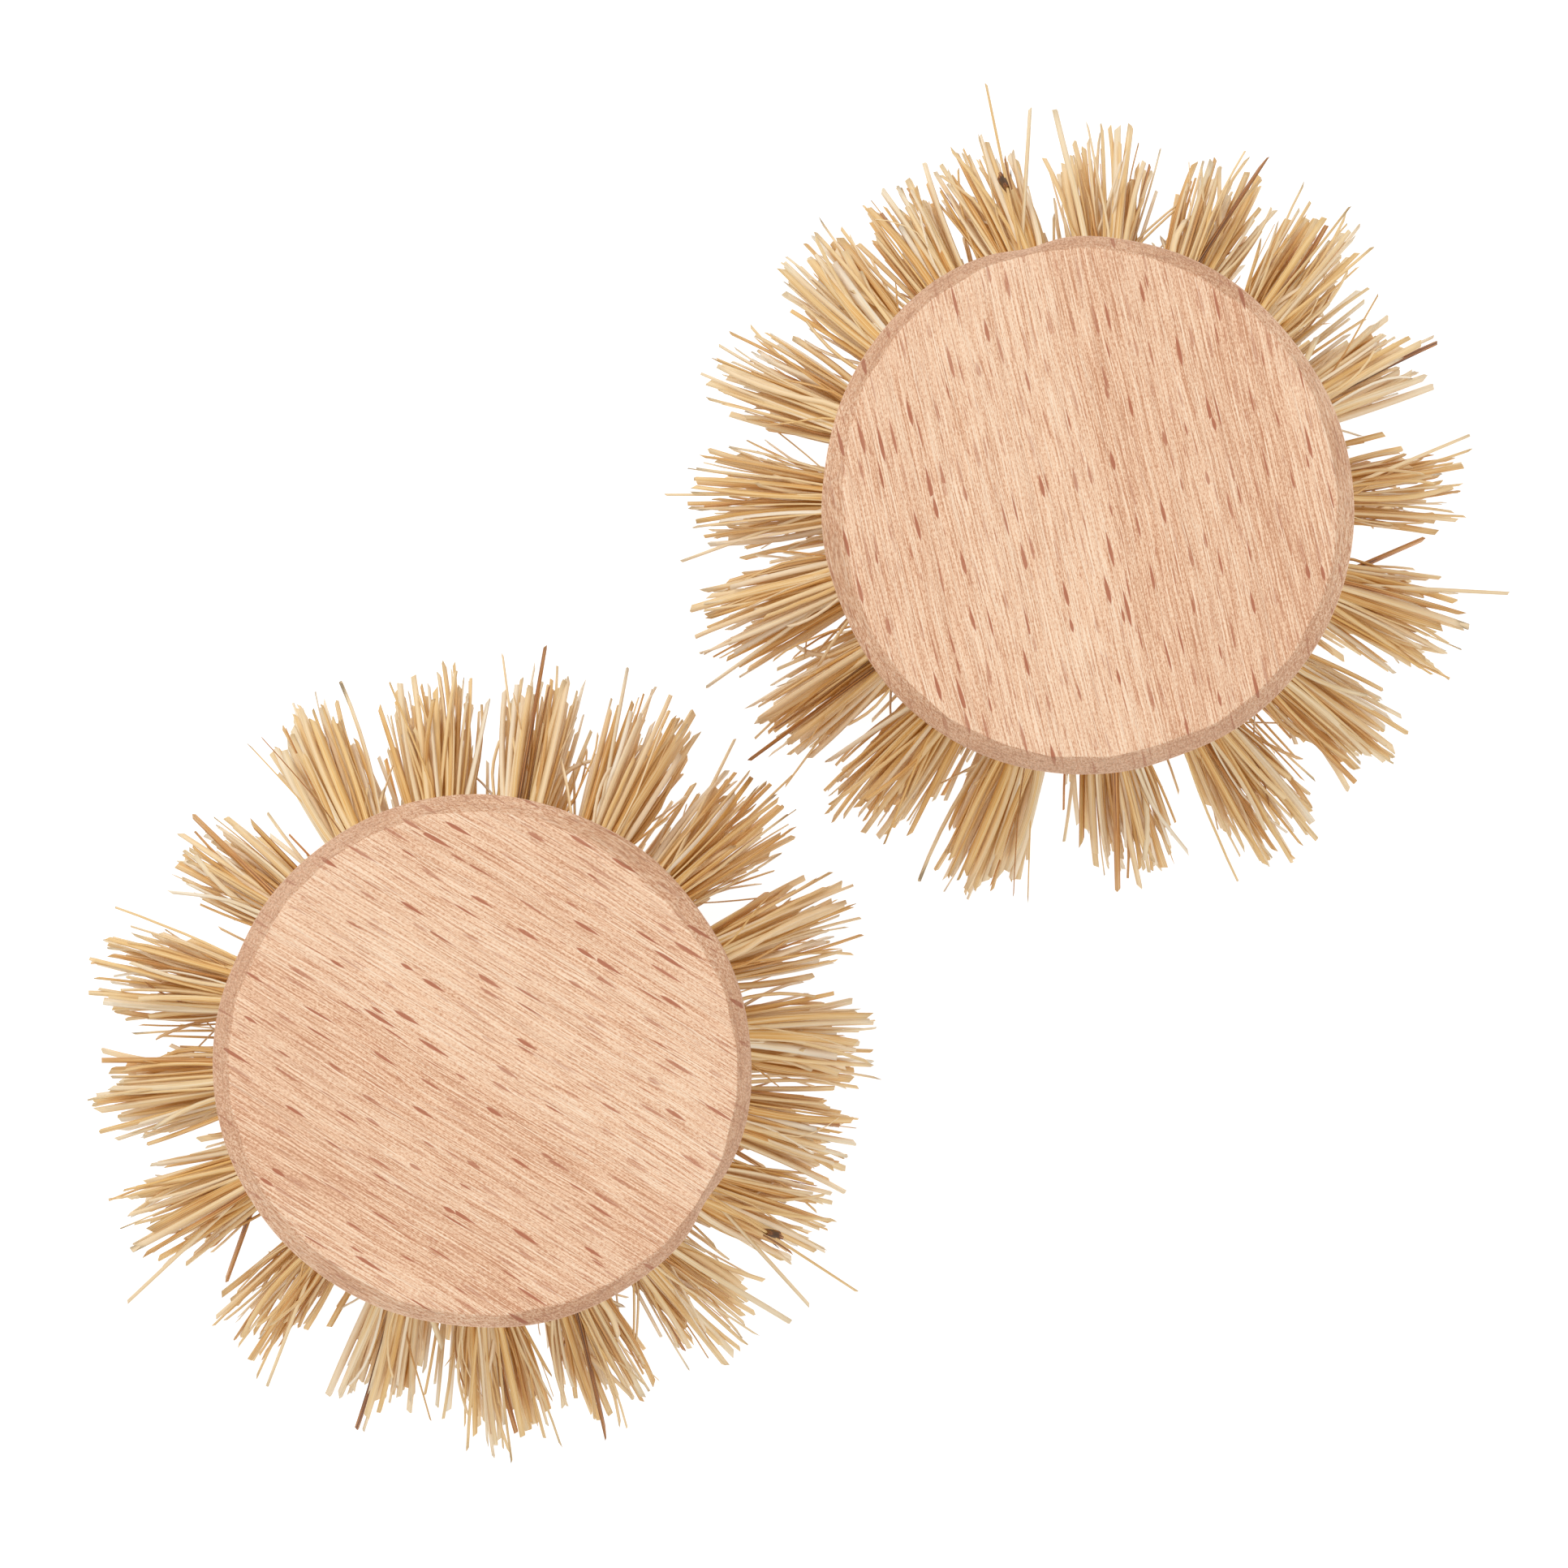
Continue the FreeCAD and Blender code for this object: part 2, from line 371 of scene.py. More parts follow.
print("layers of grain:", list(LAYERS))

# %% [markdown]
# ## Flecks and pores
#
# The rays of beech are thin upright sheets. Where a flat face cuts them, they are short
# reddish-brown spindles that lie along the grain, and the pores are thinner and paler ones.
# Stretched noise could give spots too, but then their number and length are hard to choose.
# Here each cell of a stretched cell pattern holds one spindle. On an upright face the rays
# are faint, so they are left off there.

# %% Flecks and pores
Spindles = namedtuple("Spindles", "room half shift colour strength")
FLECKS = Spindles(
    room=(4.0, 1.35),        # mm along and across the grain that one fleck has to itself
    half=(1.6, 0.19),        # half the length and width of the biggest, in mm
    shift=0.0,               # moves the pattern along, in cells
    colour=srgb(182, 110, 80), strength=0.95)
PORES = Spindles(room=(2.6, 0.5), half=(1.2, 0.07), shift=7.3, colour=srgb(190, 124, 92), strength=0.85)
SHORTEST = 0.4               # length of the smallest spindle, as a share of the biggest
THINNEST = 0.45              # its width
FAINTEST = 0.35              # its strength
SOFT_EDGE = (-0.02, 0.05)    # mm outside and inside a spindle's edge where it fades
MIDDLE_WIDTH = 0.85          # of a spindle's full width
BLUNTNESS = 0.4              # how much wider than that it grows towards one end


def spindle_pattern(r, line, kind):
    """1 on a spindle and 0 beside it: one spindle in each cell of a stretched cell pattern."""
    along, across, _ = r.split(line)
    x = r.total(r.math("DIVIDE", along, kind.room[0]), kind.shift)
    y = r.math("DIVIDE", across, kind.room[1])
    cell = r.tree.nodes.new("ShaderNodeTexVoronoi")
    cell.voronoi_dimensions = "2D"
    cell.inputs["Scale"].default_value = 1.0
    r.feed(cell.inputs["Vector"], r.join(x, y))
    centre = r.split(cell.outputs["Position"])
    chance = r.split(cell.outputs["Color"])
    dx = r.math("MULTIPLY", r.math("SUBTRACT", x, centre[0]), kind.room[0])
    dy = r.math("MULTIPLY", r.math("SUBTRACT", y, centre[1]), kind.room[1])
    # a spindle is widest in its middle, and one end is blunter than the other
    place = r.math("DIVIDE", dx, r.span(chance[0], 0, 1, kind.half[0] * SHORTEST, kind.half[0]))
    taper = r.math("MAXIMUM", r.math("SUBTRACT", 1.0, r.math("MULTIPLY", place, place)), 0.0)
    taper = r.math("MULTIPLY", taper, r.total(MIDDLE_WIDTH, r.math("MULTIPLY", place, BLUNTNESS)))
    half_wide = r.math("MULTIPLY", taper, r.span(chance[1], 0, 1, kind.half[1] * THINNEST, kind.half[1]))
    inside = r.span(r.math("SUBTRACT", half_wide, r.math("ABSOLUTE", dy)), *SOFT_EDGE)
    return r.math("MULTIPLY", inside, r.span(chance[2], 0.1, 0.8, FAINTEST, 1.0))


print("biggest fleck:", [2 * half for half in FLECKS.half], "mm")

# %% [markdown]
# ## Painted edge shade and end grain
#
# A tilted or upright face is given a painted shade, darker than the flat top, as if the light
# fell from above, and stronger in some patches round the block than in others. The turning
# tool leaves fine lines round the bevel. Where the side cuts across the grain, the wood is
# greyer, with open pores. Separate materials for the bevel and the side would meet in hard
# lines, so the way that a face looks, its normal, decides how much it has of each.

# %% Painted edge shade and end grain
LYING = (0.35, 0.65)         # how level a face is, from upright at 0 to flat at 1
FLAT_ENOUGH = (0.80, 0.97)
CROSSING = (0.30, 0.95)      # how squarely a face cuts the grain
# painted shade: tilted and upright faces are darkened as if the light fell from above
EDGE_SHADE = (0.76, 0.69, 0.63, 1)
TURNED_COLOUR = srgb(176, 126, 96)
TURNED_STRENGTH = 0.7
LINES_OUT, LINES_ROUND = 7.0, 9.0        # changes in a mm outwards and in a radian round
LINE_EDGE = (0.50, 0.66)     # where in its noise a turning line begins, and is at its darkest
SHADE_PATCH_OFTEN = (0.10, 0.10, 0.10)
SHADE_PATCH_EDGE = (0.35, 0.62)
LEAST_EDGE_SHADE = 0.55
SPECKLE_OFTEN = (2.0, 6.0, 6.0)
SPECKLE_EDGE = (0.40, 0.62)
END_PALE, END_DARK = srgb(216, 172, 140), srgb(170, 122, 92)
END_STRENGTH = 0.55


def facing(r):
    """How much a face lies flat, is tilted, and cuts across the grain, from 0 to 1."""
    along, _, up = r.split(to_grain(r, "Normal"))
    level = r.math("ABSOLUTE", up)
    lying = r.span(level, *LYING)
    tilted = r.span(level, *FLAT_ENOUGH, 1.0, 0.0)
    return lying, tilted, r.span(r.math("ABSOLUTE", along), *CROSSING)


def turning_lines(r, line):
    """Fine rings about the head's axis."""
    along, across, up = r.split(line)
    squares = r.total(r.math("POWER", along, 2.0), r.math("POWER", across, 2.0))
    out = r.math("MULTIPLY", r.math("POWER", squares, 0.5), LINES_OUT)
    turn = r.math("MULTIPLY", r.math("ARCTAN2", across, along), LINES_ROUND)
    return r.span(r.noise(r.join(out, turn, up), roughness=0.8), *LINE_EDGE, 0.0, TURNED_STRENGTH)


def painted_edge_shade(r, line, tilted):
    """How much painted shade a tilted face gets, as if the light fell from above: it comes and goes round
    the block.
    """
    patches = r.noise(line, SHADE_PATCH_OFTEN, detail=1.0)
    return r.math("MULTIPLY", tilted, r.span(patches, *SHADE_PATCH_EDGE, LEAST_EDGE_SHADE, 1.0))


def rough_end(r, speckle):
    """Colour of wood that is cut across the grain, with open pores."""
    return r.mix(r.span(speckle, *SPECKLE_EDGE), END_PALE, END_DARK)


print("edge shade:", EDGE_SHADE[:3])

# %% Beech material
WOOD_COLOURS = [
    (0.0, srgb(204, 147, 111)), (0.25, srgb(231, 183, 148)), (0.5, srgb(245, 203, 168)),
    (0.75, srgb(252, 215, 182)), (1.0, srgb(255, 228, 200))]
GRAIN_LIFT, FLECK_DIP, END_LIFT = 0.6, 0.25, 0.8     # shares of the relief
WOOD_RELIEF = (0.06 * MM, 0.8)           # its depth and strength


def beech_material():
    r = Recipe("beech")
    line = grain_space(r)
    lying, tilted, crossing = facing(r)
    layers = grain_layers(r, line)
    tones = [r.swing(layer, LAYER_AMOUNT[name]) for name, layer in layers.items()]
    wood = r.ramp(r.total(growth_bands(r, line), *tones), WOOD_COLOURS)
    pores, flecks = (r.math("MULTIPLY", spindle_pattern(r, line, kind), lying) for kind in (PORES, FLECKS))
    wood = r.mix(r.math("MULTIPLY", pores, PORES.strength), wood, PORES.colour)
    wood = r.mix(r.math("MULTIPLY", flecks, FLECKS.strength), wood, FLECKS.colour)
    # painted shade on the tilted and upright faces, stronger in some patches than in others
    painted_tilt_shade = painted_edge_shade(r, line, tilted)
    wood = r.mix(painted_tilt_shade, wood, EDGE_SHADE, "MULTIPLY")
    turned = r.math("MULTIPLY", r.math("MULTIPLY", painted_tilt_shade, lying), turning_lines(r, line))
    wood = r.mix(turned, wood, TURNED_COLOUR)
    speckle = r.noise(line, SPECKLE_OFTEN, detail=3.0)
    wood = r.mix(r.math("MULTIPLY", crossing, END_STRENGTH), wood, rough_end(r, speckle))
    lines = [r.math("MULTIPLY", layers[name], GRAIN_LIFT) for name in ("hairs", "streaks")]
    ends = r.math("MULTIPLY", speckle, r.math("MULTIPLY", crossing, END_LIFT))
    lift = r.math("SUBTRACT", r.total(*lines), r.math("MULTIPLY", flecks, FLECK_DIP))
    r.bump(r.total(lift, ends), *WOOD_RELIEF)
    return r.finish(wood, Roughness=0.62, Specular_IOR_Level=0.3)


beech = beech_material()
print("beech nodes:", len(beech.node_tree.nodes))

# %% [markdown]
# ## The turned block
#
# The block could stay the CAD solid, but its bevel is ruler-sharp and the same all round. The
# real edge was sanded by hand: the side has flats, and the bevel is wide on one side, narrow
# on the other, crisp here and worn there. So the block is turned again from the same outline,
# which changes on its way round, and then drilled in one go for its tufts and its two side
# sockets.

# %% Outline of the block
CONE_HEIGHT = 5.0 * MM
BOTTOM_RADIUS = 13.45 * MM
BEVEL_HEIGHT = 1.2 * MM
BEVEL_BULGE = 0.06 * MM      # a bevel that was sanded by hand is never quite flat
SIDE_RADIUS = 19.90 * MM     # of the side, before its flats
RIM_RADIUS = 18.68 * MM      # of the flat top, inside the bevel
FOOT_ROUNDING, CONE_ROUNDING = 0.20 * MM, 0.25 * MM
WEAR = 0.20 * MM             # rounding of the edge between side and bevel
TOP_WEAR = 0.6               # how much of that the edge between bevel and top has
RIM_RIPPLE = 0.04 * MM
# flats and bumps: (direction in degrees, depth in mm, width in degrees)
SIDE_FLATS = [(38, -0.30, 16), (12, -0.12, 15), (92, 0.10, 9), (103, -0.38, 6), (123, 0.22, 12),
              (172, -0.30, 16), (203, -0.33, 17), (245, 0.05, 15), (291, -0.17, 9), (330, 0.04, 20)]
RIM_FLATS = [(8, -0.22, 22), (110, 0.42, 36), (182, -0.72, 24), (215, -0.15, 14), (287, -0.22, 10)]
# waves round the block: (times round, size, start in degrees)
BEVEL_WAVES = [(1, 0.15, 200), (3, 0.10, 30), (7, 0.04, 10)]
WEAR_WAVES = [(1, 0.7, 60), (3, 0.2, 0)]
RIM_WAVES = [(17, 1, 0), (29, 1, 40)]


def slow_wave(angle, waves):
    """A sum of a few waves round the block."""
    return sum(size * sin(times * angle + radians(start)) for times, size, start in waves)


def sanded(angle, radius, flats):
    """A radius with its sanded flats and leftover bumps."""
    for direction, depth, width in flats:
        away = (degrees(angle) - direction + 180) % 360 - 180
        radius += depth * MM * np.exp(-(away / width) ** 2)
    return radius


def block_corners(angle):
    """Radius, height and rounding of each edge of the block, bottom to top, in one direction."""
    height = BEVEL_HEIGHT * (1 + slow_wave(angle, BEVEL_WAVES))
    wear = WEAR * (1 + slow_wave(angle, WEAR_WAVES))
    side = sanded(angle, SIDE_RADIUS, SIDE_FLATS)
    rim = sanded(angle, RIM_RADIUS, RIM_FLATS) + RIM_RIPPLE * slow_wave(angle, RIM_WAVES)
    return [(BOTTOM_RADIUS, BOTTOM_Z, FOOT_ROUNDING), (side, BOTTOM_Z + CONE_HEIGHT, CONE_ROUNDING),
            (side, TOP_Z - height, wear), (rim, TOP_Z, wear * TOP_WEAR)]


for radius, z, rounding in block_corners(0.0):
    print(f"edge towards +X: radius {radius / MM:.2f}, height {z / MM:.2f}, rounded {rounding / MM:.2f} mm")

# %% Turn the block
AROUND = 288                 # columns round the block
EDGE_STEPS = 3               # steps that round each worn edge
SIDE_ROW = 1.5 * MM          # rows this far from the side's two edges keep the side straight
FOOT_ROWS = (0.5 * BOTTOM_RADIUS, BOTTOM_RADIUS - 0.3 * MM)
TOP_ROWS = (0.85 * BLOCK_RADIUS, 0.6 * BLOCK_RADIUS, 0.3 * BLOCK_RADIUS)


def worn_corner(before, corner, after, rounding):
    """Rows that replace a sharp corner: a curve from one side to the other, pulled to the corner."""
    b, c, a = Vector(before), Vector(corner), Vector(after)
    start = c + (b - c).normalized() * rounding
    end = c + (a - c).normalized() * rounding
    rows = []
    for step in range(EDGE_STEPS + 1):
        t = step / EDGE_STEPS
        rows.append(tuple((1 - t) ** 2 * start + 2 * t * (1 - t) * c + t ** 2 * end))
    return rows


def block_outline(angle):
    """Radius and height of each row of the block, bottom to top, in one direction."""
    corners = block_corners(angle)
    foot, low, high, rim = [(radius, z) for radius, z, _ in corners]
    points = [(0.0, BOTTOM_Z), foot, low, high, rim, (0.0, TOP_Z)]
    worn = [worn_corner(*points[k:k + 3], corner[2]) for k, corner in enumerate(corners)]
    side_rows = [(low[0], low[1] + SIDE_ROW), (high[0], high[1] - SIDE_ROW)]
    bevel_row = [((high[0] + rim[0]) / 2, (high[1] + rim[1]) / 2 + BEVEL_BULGE)]
    return ([(radius, BOTTOM_Z) for radius in FOOT_ROWS] + worn[0] + worn[1] + side_rows + worn[2]
            + bevel_row + worn[3] + [(radius, TOP_Z) for radius in TOP_ROWS])


def turned_mesh():
    """Turns the outline round the head's axis."""
    mesh = bmesh.new()
    columns = []
    for k in range(AROUND):
        angle = 2 * pi * k / AROUND
        rows = block_outline(angle)
        columns.append([mesh.verts.new((r * cos(angle), r * sin(angle), z)) for r, z in rows])
    foot = mesh.verts.new((0, 0, BOTTOM_Z))
    crown = mesh.verts.new((0, 0, TOP_Z))
    for k in range(AROUND):
        here, there = columns[k], columns[(k + 1) % AROUND]
        for j in range(len(here) - 1):
            mesh.faces.new((here[j], there[j], there[j + 1], here[j + 1]))
        mesh.faces.new((foot, there[0], here[0]))
        mesh.faces.new((crown, here[-1], there[-1]))
    return mesh


block_form = turned_mesh()
print("turned block:", len(block_form.faces), "faces")

# %% [markdown]
# ## Rings of holes
#
# The tufts stand in rings: eighteen round the conical underside, then twelve, six and one in
# the flat bottom. Their places follow the same rule as in the CAD model. Each hole is kept as
# a matrix whose origin is on the hole's floor and whose Z points out of the mouth, so a tuft
# can be made upright and dropped into any hole.

# %% Holes
HOLE_RADIUS = 1.75 * MM
HOLE_DEPTH = 7.0 * MM
OUTER_DEPTH = 6.904 * MM
OUTER_SWAY = 4.7             # degrees; the hand-set spacing is closer on one side
OUTER_SWAY_FROM = 55.0
OUTER_TILT = degrees(atan2(CONE_HEIGHT, BLOCK_RADIUS - BOTTOM_RADIUS))

# how many tufts, the first one's direction, the hole's mouth, tilt and depth, and then for the
# fibres: their free length, the radius that a tuft opens to, and how far some lean outwards
Ring = namedtuple("Ring", "count first mouth_radius mouth_z tilt depth free end_radius lean")
RINGS = {
    "outer": Ring(18, 0.5, (BLOCK_RADIUS + BOTTOM_RADIUS) / 2, BOTTOM_Z + CONE_HEIGHT / 2, OUTER_TILT,
                  OUTER_DEPTH, 16.6 * MM, 3.68 * MM, 0.0),
    "middle": Ring(12, 5.0, 10.394 * MM, BOTTOM_Z, 20.0, HOLE_DEPTH, 18.2 * MM, 3.70 * MM, 9.0 * MM),
    "inner": Ring(6, 20.0, 4.853 * MM, BOTTOM_Z, 7.0, HOLE_DEPTH, 18.6 * MM, 2.96 * MM, 0.0),
    "centre": Ring(1, 0.0, 0.0, BOTTOM_Z, 0.0, HOLE_DEPTH, 19.0 * MM, 2.96 * MM, 0.0),
}


def hole_matrix(angle, ring):
    turn = Matrix.Rotation(radians(angle), 4, "Z") @ Matrix.Rotation(radians(180 - ring.tilt), 4, "Y")
    out = (turn @ Vector((0, 0, 1))).normalized()
    mouth = Vector((ring.mouth_radius * cos(radians(angle)), ring.mouth_radius * sin(radians(angle)),
                    ring.mouth_z))
    return Matrix.Translation(mouth - out * ring.depth) @ turn


def ring_holes(name):
    ring = RINGS[name]
    angles = [ring.first + 360 / ring.count * k for k in range(ring.count)]
    if name == "outer":
        angles = [a + OUTER_SWAY * cos(radians(a - OUTER_SWAY_FROM)) for a in angles]
    return [hole_matrix(angle, ring) for angle in angles]


print("holes:", {name: len(ring_holes(name)) for name in RINGS})

# %% Drills
SOCKET_RADIUS = 1.5 * MM
SOCKET_DEPTH = 6.0 * MM
SOCKET_Z = 31.024 * MM
SOCKET_TURN = 135.0          # degrees from +X to the first side socket
PAST_MOUTH = 2.0 * MM        # how far the drills stand out of the tuft holes
PAST_SIDE = 1.0 * MM         # and out of the sockets
DRILL_SIDES = 40


def drill(mesh, matrix, radius, length):
    """Adds one closed cylinder to a mesh of drills, from the matrix's origin along its Z."""
    placed = matrix @ Matrix.Translation((0, 0, length / 2))
    bmesh.ops.create_cone(mesh, cap_ends=True, segments=DRILL_SIDES, radius1=radius, radius2=radius,
                          depth=length, matrix=placed)


def socket_matrix(angle):
    """On the floor of a side socket, with Z outwards."""
    across = Matrix.Rotation(radians(angle), 4, "Z") @ Matrix.Rotation(radians(90), 4, "Y")
    floor_radius = BLOCK_RADIUS - SOCKET_DEPTH
    place = (cos(radians(angle)) * floor_radius, sin(radians(angle)) * floor_radius, SOCKET_Z)
    return Matrix.Translation(place) @ across


def drills_object():
    """All drills of one head as one object."""
    drills = bmesh.new()
    for name, ring in RINGS.items():
        for hole in ring_holes(name):
            drill(drills, hole, HOLE_RADIUS, ring.depth + PAST_MOUTH)
    for angle in (SOCKET_TURN, SOCKET_TURN + 180):
        drill(drills, socket_matrix(angle), SOCKET_RADIUS, SOCKET_DEPTH + PAST_SIDE)
    data = bpy.data.meshes.new("drills")
    drills.to_mesh(data)
    return bpy.data.objects.new("drills", data)


print("sockets at", (SOCKET_TURN, SOCKET_TURN + 180), "degrees")

# %% Drill the block
SHARP_FROM = 32              # degrees between two faces that make a crisp edge


def drilled_block(name):
    """The turned block with all its holes cut out, about the head's own axis."""
    data = bpy.data.meshes.new(name)
    block_form.to_mesh(data)
    block = bpy.data.objects.new(name, data)
    drills = drills_object()
    for thing in (block, drills):
        bpy.context.scene.collection.objects.link(thing)
    cut = block.modifiers.new("drilled", "BOOLEAN")
    cut.operation = "DIFFERENCE"
    cut.solver = "EXACT"
    cut.object = drills
    bpy.context.view_layer.update()
    made = bpy.data.meshes.new_from_object(block.evaluated_get(bpy.context.evaluated_depsgraph_get()))
    block.modifiers.clear()
    block.data = made
    bpy.data.objects.remove(drills)
    made.shade_smooth()
    made.set_sharp_from_angle(angle=radians(SHARP_FROM))
    made.materials.clear()
    made.materials.append(beech)
    return block


def put_in_place(piece, head, node):
    """Stands a piece where its head is, hangs it on the head's body, and hides the CAD node that it stands
    for.
    """
    piece.matrix_world = head_matrix(head)
    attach(piece, head)
    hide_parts(node)


first_block = drilled_block("beech_block_1")
second_block = bpy.data.objects.new("beech_block_2", first_block.data.copy())
bpy.context.scene.collection.objects.link(second_block)
for head, block in zip(HEAD_TURN, (first_block, second_block)):
    put_in_place(block, head, head + "_block")
print("drilled block:", len(first_block.data.polygons), "faces")

# %% [markdown]
# ## Plant fibre
#
# The fibres are split from leaf stalks: flat, angular strips in cream, straw and tan, with a
# few brown ones. Each strip has a tone of its own, which could be a material of its own. But
# a number for each fibre, stored on the mesh and read by one material, is far shorter. Fine
# lines along the strip come from the fibre's own UV map, which lays every fibre out as one
# row.

# %% Fibre material
LINES_OFTEN = (2.0, 900.0, 1.0)          # changes along a fibre and across all rows of the map
PATCHES_OFTEN = (9.0, 160.0, 1.0)
LINES_AMOUNT, PATCHES_AMOUNT = 1.35, 0.55
FOLD_SHADE = 0.30            # painted shade: how much darker and browner a strip is at its fold than at its ends
PALER_FROM = 0.8             # of the way from the fold to an end; past it a fibre is paler than its tone
GOLDEN_SHUFFLE = 91.7        # makes another chance out of a strip's tone
GOLDEN_MOST = 0.4
GOLDEN_EDGE = (0.25, 0.35)   # strips of a browner tone aren't golden
FIBRE_COLOURS = [
    (0.0, srgb(44, 26, 14)), (0.03, srgb(122, 50, 20)), (0.12, srgb(190, 116, 48)),
    (0.30, srgb(213, 169, 101)), (0.50, srgb(228, 203, 157)), (0.75, srgb(234, 219, 189)),
    (1.0, srgb(239, 231, 214))]
# painted glow: every strip gives off a faint orange light of its own
GOLDEN = srgb(240, 192, 104)
PAINTED_GLOW_COLOUR = srgb(232, 150, 40)
PAINTED_GLOW_STRENGTH = 0.065
FIBRE_RELIEF = (0.02 * MM, 0.6)          # depth and strength


def fibre_material():
    r = Recipe("plant_fibre")
    tone = r.add("Attribute", "Fac", {"attribute_name": "tone"})
    layout = r.add("UVMap", 0, {"uv_map": "OFBake"})
    lines = r.noise(layout, LINES_OFTEN)
    patches = r.noise(layout, PATCHES_OFTEN)
    from_fold = r.math("ABSOLUTE", r.math("SUBTRACT", r.math("MULTIPLY", r.split(layout)[0], 2.0), 1.0))
    # painted shade: the strips are darker and browner towards the fold, low in the bundle under the block,
    # and a touch paler near their ends
    shade = r.math("MULTIPLY", r.math("SUBTRACT", PALER_FROM, from_fold), FOLD_SHADE)
    varied = r.total(tone, r.swing(lines, LINES_AMOUNT), r.swing(patches, PATCHES_AMOUNT))
    colour = r.ramp(r.math("SUBTRACT", varied, shade), FIBRE_COLOURS)
    # some strips are more golden than others of the same depth of colour
    chance = r.math("FRACT", r.math("MULTIPLY", tone, GOLDEN_SHUFFLE))
    golden = r.math("MULTIPLY", chance, r.span(tone, *GOLDEN_EDGE, 0.0, GOLDEN_MOST))
    colour = r.mix(golden, colour, GOLDEN)
    r.bump(lines, *FIBRE_RELIEF)
    # a faint orange glow is painted on every strip, in place of the light that thin stalks let through
    return r.finish(colour, Roughness=0.5, Specular_IOR_Level=0.35, Emission_Color=PAINTED_GLOW_COLOUR,
                    Emission_Strength=PAINTED_GLOW_STRENGTH)


fibre = fibre_material()
print("fibre nodes:", len(fibre.node_tree.nodes))

# %% [markdown]
# ## One tuft
#
# A tuft is a bundle of fifty strips, folded in two under the crown of its staple, with both
# ends out of the hole. Hair or particles could fill it, but they give round, even threads.
# Here each strip has a path of its own: down one side of the hole, round the fold and up the
# other side. In the hole the strips are packed tight; past the mouth they spread, cross, and
# end unevenly.

# %% Roots and ends of the fibres
FOLDED_FIBRES = 50           # strips in a tuft, each with two ends
FAN = 1.06                   # the loose fan is a touch wider than the tuft's solid in the model
GOLDEN_TURN = pi * (3 - 5 ** 0.5)
ROOT_JITTER = 0.06 * MM


def packed_points(rng, count, radius):
    """Places for the legs in the hole's round section, evenly packed with a little disorder."""
    steps = (np.arange(count) + 0.5) / count
    spread = radius * np.sqrt(steps)
    angle = np.arange(count) * GOLDEN_TURN + rng.uniform(0, 2 * pi)
    points = np.stack([spread * np.cos(angle), spread * np.sin(angle)], axis=1)
    return points + rng.normal(0, ROOT_JITTER, points.shape)


def free_length(rng, full):
    """Length outside the hole, and how much of a stray it is: ends are uneven, and a few are bent."""
    chance = rng.random()
    if chance < 0.08:        # broken short
        return full * rng.uniform(0.4, 0.85), 0.6
    if chance > 0.97:        # too long
        return full * rng.uniform(1.05, 1.2), 0.5
    if chance > 0.85:        # bent aside
        return full * rng.uniform(0.7, 1.02), 1.2
    return full * (1 + rng.normal(-0.045, 0.105)), 0.0


print("ends in a tuft:", 2 * FOLDED_FIBRES)

# %% Path of a fibre
LEG_STEPS = 7                # straight bits in the free part of a leg
FOLD_STEPS = 4
FOLD_HEIGHT = 1.6 * MM       # where the two legs start to bend into the fold
FOLD_DROP = 0.8              # of that height, how far down the fold reaches
FOLD_SQUEEZE = 0.5           # how far the fold is pressed together sideways
PINCH = 0.8                  # of a leg's way out from the middle, where it starts to bend
STRAIGHT_FROM = 0.55         # of the hole's depth; from here on a leg keeps its place in the hole
LEAN_SHARE = 0.34            # of the legs in a leaning ring, how many lean out between its neighbours
TIP_JITTER = 0.36 * MM
STRAY_JITTER = 2.6           # how much more a full stray's tip is out of place
BOW = 0.22 * MM
KINK = 3.0 * MM              # how far aside the biggest kink would throw a tip
KINK_AT = (0.25, 0.7)        # of the way out of the hole


def leg_path(root, depth, tip, bow, kink=(0, 0), kink_at=1.0):
    """Points of one leg from the fold to its tip, upright in the hole's own frame."""
    mouth = np.array([root[0], root[1], depth])
    in_hole = ((root * PINCH, FOLD_HEIGHT), (root, depth * STRAIGHT_FROM))
    path = [np.array([x, y, z]) for (x, y), z in in_hole]
    for t in np.linspace(0, 1, LEG_STEPS + 1):
        point = mouth + (tip - mouth) * t
        point[:2] += bow * 4 * t * (1 - t) + np.array(kink) * max(0.0, t - kink_at)
        path.append(point)
    return path


def loose_leg(rng, root, ring, spread, sway):
    """A leg that ends somewhere in the fan; strays go wider, and have a kink."""
    length, stray = free_length(rng, ring.free)
    jitter = rng.normal(0, TIP_JITTER, 2) * (1 + STRAY_JITTER * stray)
    across = root * (ring.end_radius * spread / HOLE_RADIUS) * FAN + jitter
    if rng.random() < LEAN_SHARE:
        across[0] -= rng.uniform(0, ring.lean)
    tip = np.array([across[0] + sway[0], across[1] + sway[1], ring.depth + length])
    bow = rng.normal(0, BOW, 2) * (1 + stray)
    kink = rng.uniform(-KINK, KINK, 2) * stray
    return leg_path(root, ring.depth, tip, bow, kink, rng.uniform(*KINK_AT)), stray


def fold_path(down, up):
    """The tight bend under the staple's crown that joins the two legs."""
    path = []
    for k in range(1, FOLD_STEPS):
        a = pi * k / FOLD_STEPS
        x = down[0] * (1 + cos(a)) / 2 + up[0] * (1 - cos(a)) / 2
        y = (down[1] * (1 + cos(a)) / 2 + up[1] * (1 - cos(a)) / 2) * (1 - FOLD_SQUEEZE * sin(a))
        path.append(np.array([x, y, FOLD_HEIGHT * (1 - FOLD_DROP * sin(a))]))
    return path


print("points in a fibre's path:", 2 * (LEG_STEPS + 3) + FOLD_STEPS - 1)

# %% [markdown]
# ## One fibre
#
# A strip of leaf stalk is flat, with four uneven corners, and its ends are cut aslant. A
# curve with a bevel would be quicker, but its section is the same everywhere. So the corners
# are worked out at each point of the path, and each strip twists in its own way.

